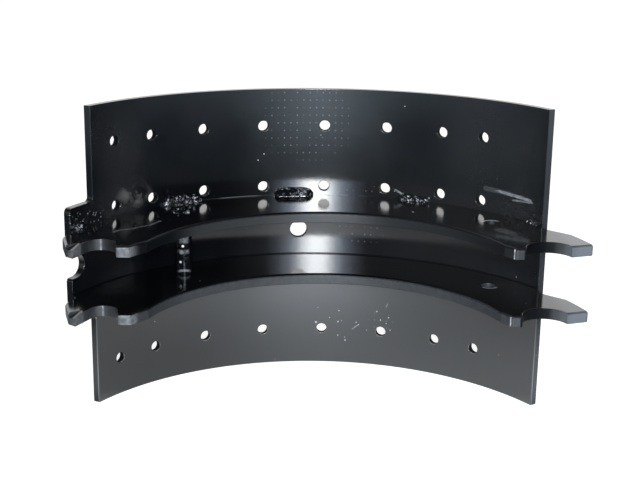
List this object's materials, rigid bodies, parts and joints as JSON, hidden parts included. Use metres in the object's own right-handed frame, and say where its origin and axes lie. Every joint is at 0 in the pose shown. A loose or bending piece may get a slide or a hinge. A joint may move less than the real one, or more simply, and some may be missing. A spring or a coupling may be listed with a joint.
{
  "type": "brake shoe",
  "caption": "Bare steel drum brake shoe: a curved, drilled table for a riveted lining, welded to parallel webs that end in a cam roller seat and an anchor pin seat.",
  "frame": {"origin": "on the table's outer (lining) face, in the middle of the rivet pattern and of the width; the brake drum's axis is at y = -0.19", "axes": "+Z along the drum's axis, +Y away from it, out of the lining face, and +X towards the anchor pin end"},
  "size_m": [0.3495, 0.1629, 0.2162],
  "materials": {
    "table": "gloss",
    "webs": "gloss",
    "pin": "gloss",
    "welds": "gloss"
  },
  "bodies": {
    "root": {"table": "table", "web_upper": "webs", "web_lower": "webs", "spring_pin": "pin", "pin_weld_upper": "welds", "pin_weld_lower": "welds", "weld_upper_1": "welds", "weld_upper_2": "welds", "weld_upper_3": "welds", "weld_upper_4": "welds", "weld_upper_5": "welds", "weld_lower_1": "welds", "weld_lower_2": "welds", "weld_lower_3": "welds", "weld_lower_4": "welds", "weld_lower_5": "welds"}
  },
  "joints": []
}
